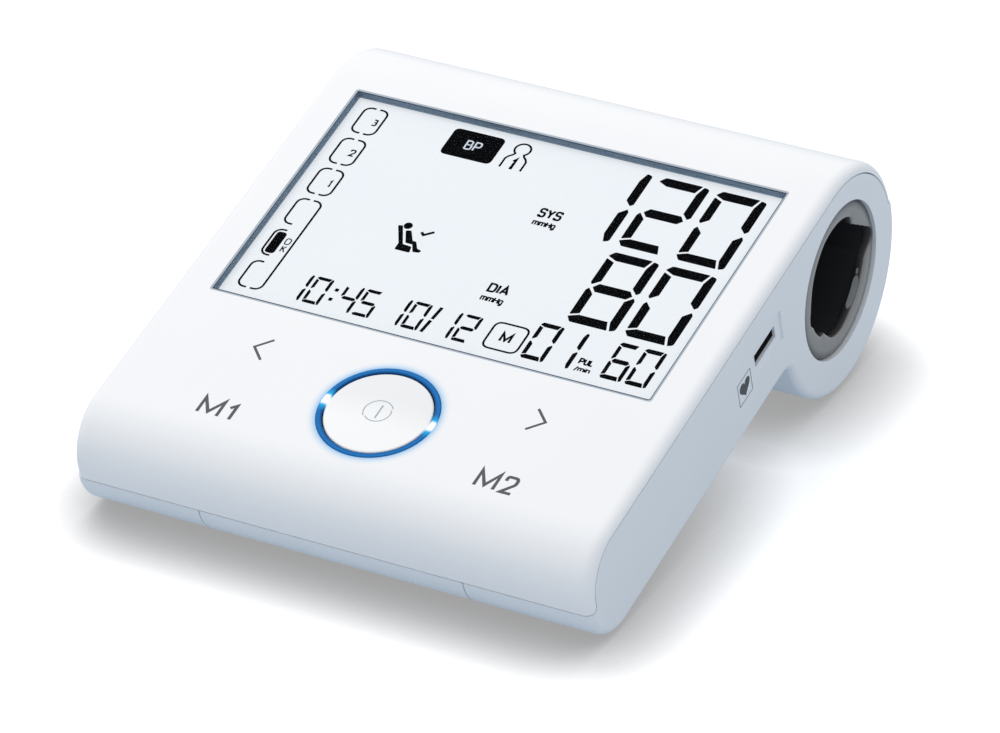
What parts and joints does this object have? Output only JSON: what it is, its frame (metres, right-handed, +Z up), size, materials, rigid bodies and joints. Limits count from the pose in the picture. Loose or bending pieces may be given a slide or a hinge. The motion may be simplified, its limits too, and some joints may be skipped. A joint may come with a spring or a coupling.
{
  "type": "upper-arm blood pressure monitor",
  "caption": "Desktop blood pressure monitor: sloping white slab with a large display, touch keys and a lit start key, on a round rear roll that stores a sensing stick.",
  "frame": {"origin": "on the table, under the middle of the body's length and width", "axes": "+X to the user's right, +Y away from the user towards the storage roll, +Z up"},
  "size_m": [0.1394, 0.1656, 0.0606],
  "materials": {
    "white_gloss_abs": "high-gloss moulded ABS",
    "white_satin_abs": "satin-gloss moulded ABS",
    "slate_frame": "matt moulded ABS",
    "clear_acrylic": "polished clear PMMA",
    "lcd_panel": "polariser film on glass",
    "light_guide": "clear moulded acrylic",
    "dark_rubber": "matt",
    "circuit_board": "solder mask",
    "screw_steel": "zinc plated",
    "spring_steel": "nickel plated",
    "blue_light_ring": "lit translucent acrylic",
    "black_plastic": "glossy moulded",
    "smoked_plastic": "smoked polycarbonate",
    "grey_plastic": "moulded",
    "clear_silicone": "translucent",
    "motor_steel": "drawn steel",
    "cell_sleeve": "printed sleeve",
    "grey_rubber": "matt"
  },
  "bodies": {
    "root": {"upper_cover": "white_gloss_abs", "lower_housing": "white_satin_abs", "display_frame": "slate_frame", "display_lens": "clear_acrylic", "lcd_glass": "lcd_panel", "backlight": "light_guide", "zebra_strips": "dark_rubber", "main_board": "circuit_board", "board_screws": "screw_steel", "touch_springs": "spring_steel", "light_ring": "blue_light_ring", "start_switch": "black_plastic", "ring_leds": "light_guide", "stick_tube": "black_plastic", "tube_mouth": "smoked_plastic", "side_socket": "black_plastic", "air_socket": "grey_plastic", "power_jack": "black_plastic", "air_manifold": "grey_plastic", "release_valve": "black_plastic", "pressure_sensor": "black_plastic", "air_hoses": "clear_silicone", "pump_head": "grey_plastic", "pump_motor": "motor_steel", "pump_cradle": "dark_rubber", "battery_cells": "cell_sleeve", "battery_contacts": "spring_steel", "battery_springs": "spring_steel", "rubber_feet": "grey_rubber", "housing_screws": "screw_steel"},
    "key": {"start_key": "white_gloss_abs"},
    "door": {"battery_door": "white_satin_abs"},
    "rotor": {"pump_rotor": "motor_steel"}
  },
  "joints": [
    {"name": "key_press", "type": "slide", "parent": "root", "child": "key", "axis": [0, 0.2403, -0.9707], "range_m": [0, 0.0006], "stiffness_N_per_m": 800},
    {"name": "door_slide", "type": "slide", "parent": "root", "child": "door", "axis": [0, -0.9707, -0.2403], "range_m": [0, 0.062]},
    {"name": "pump_spin", "type": "hinge", "parent": "root", "child": "rotor", "pos_m": [0, 0.0114, 0.03182], "axis": [1, 0, 0], "continuous": true}
  ]
}
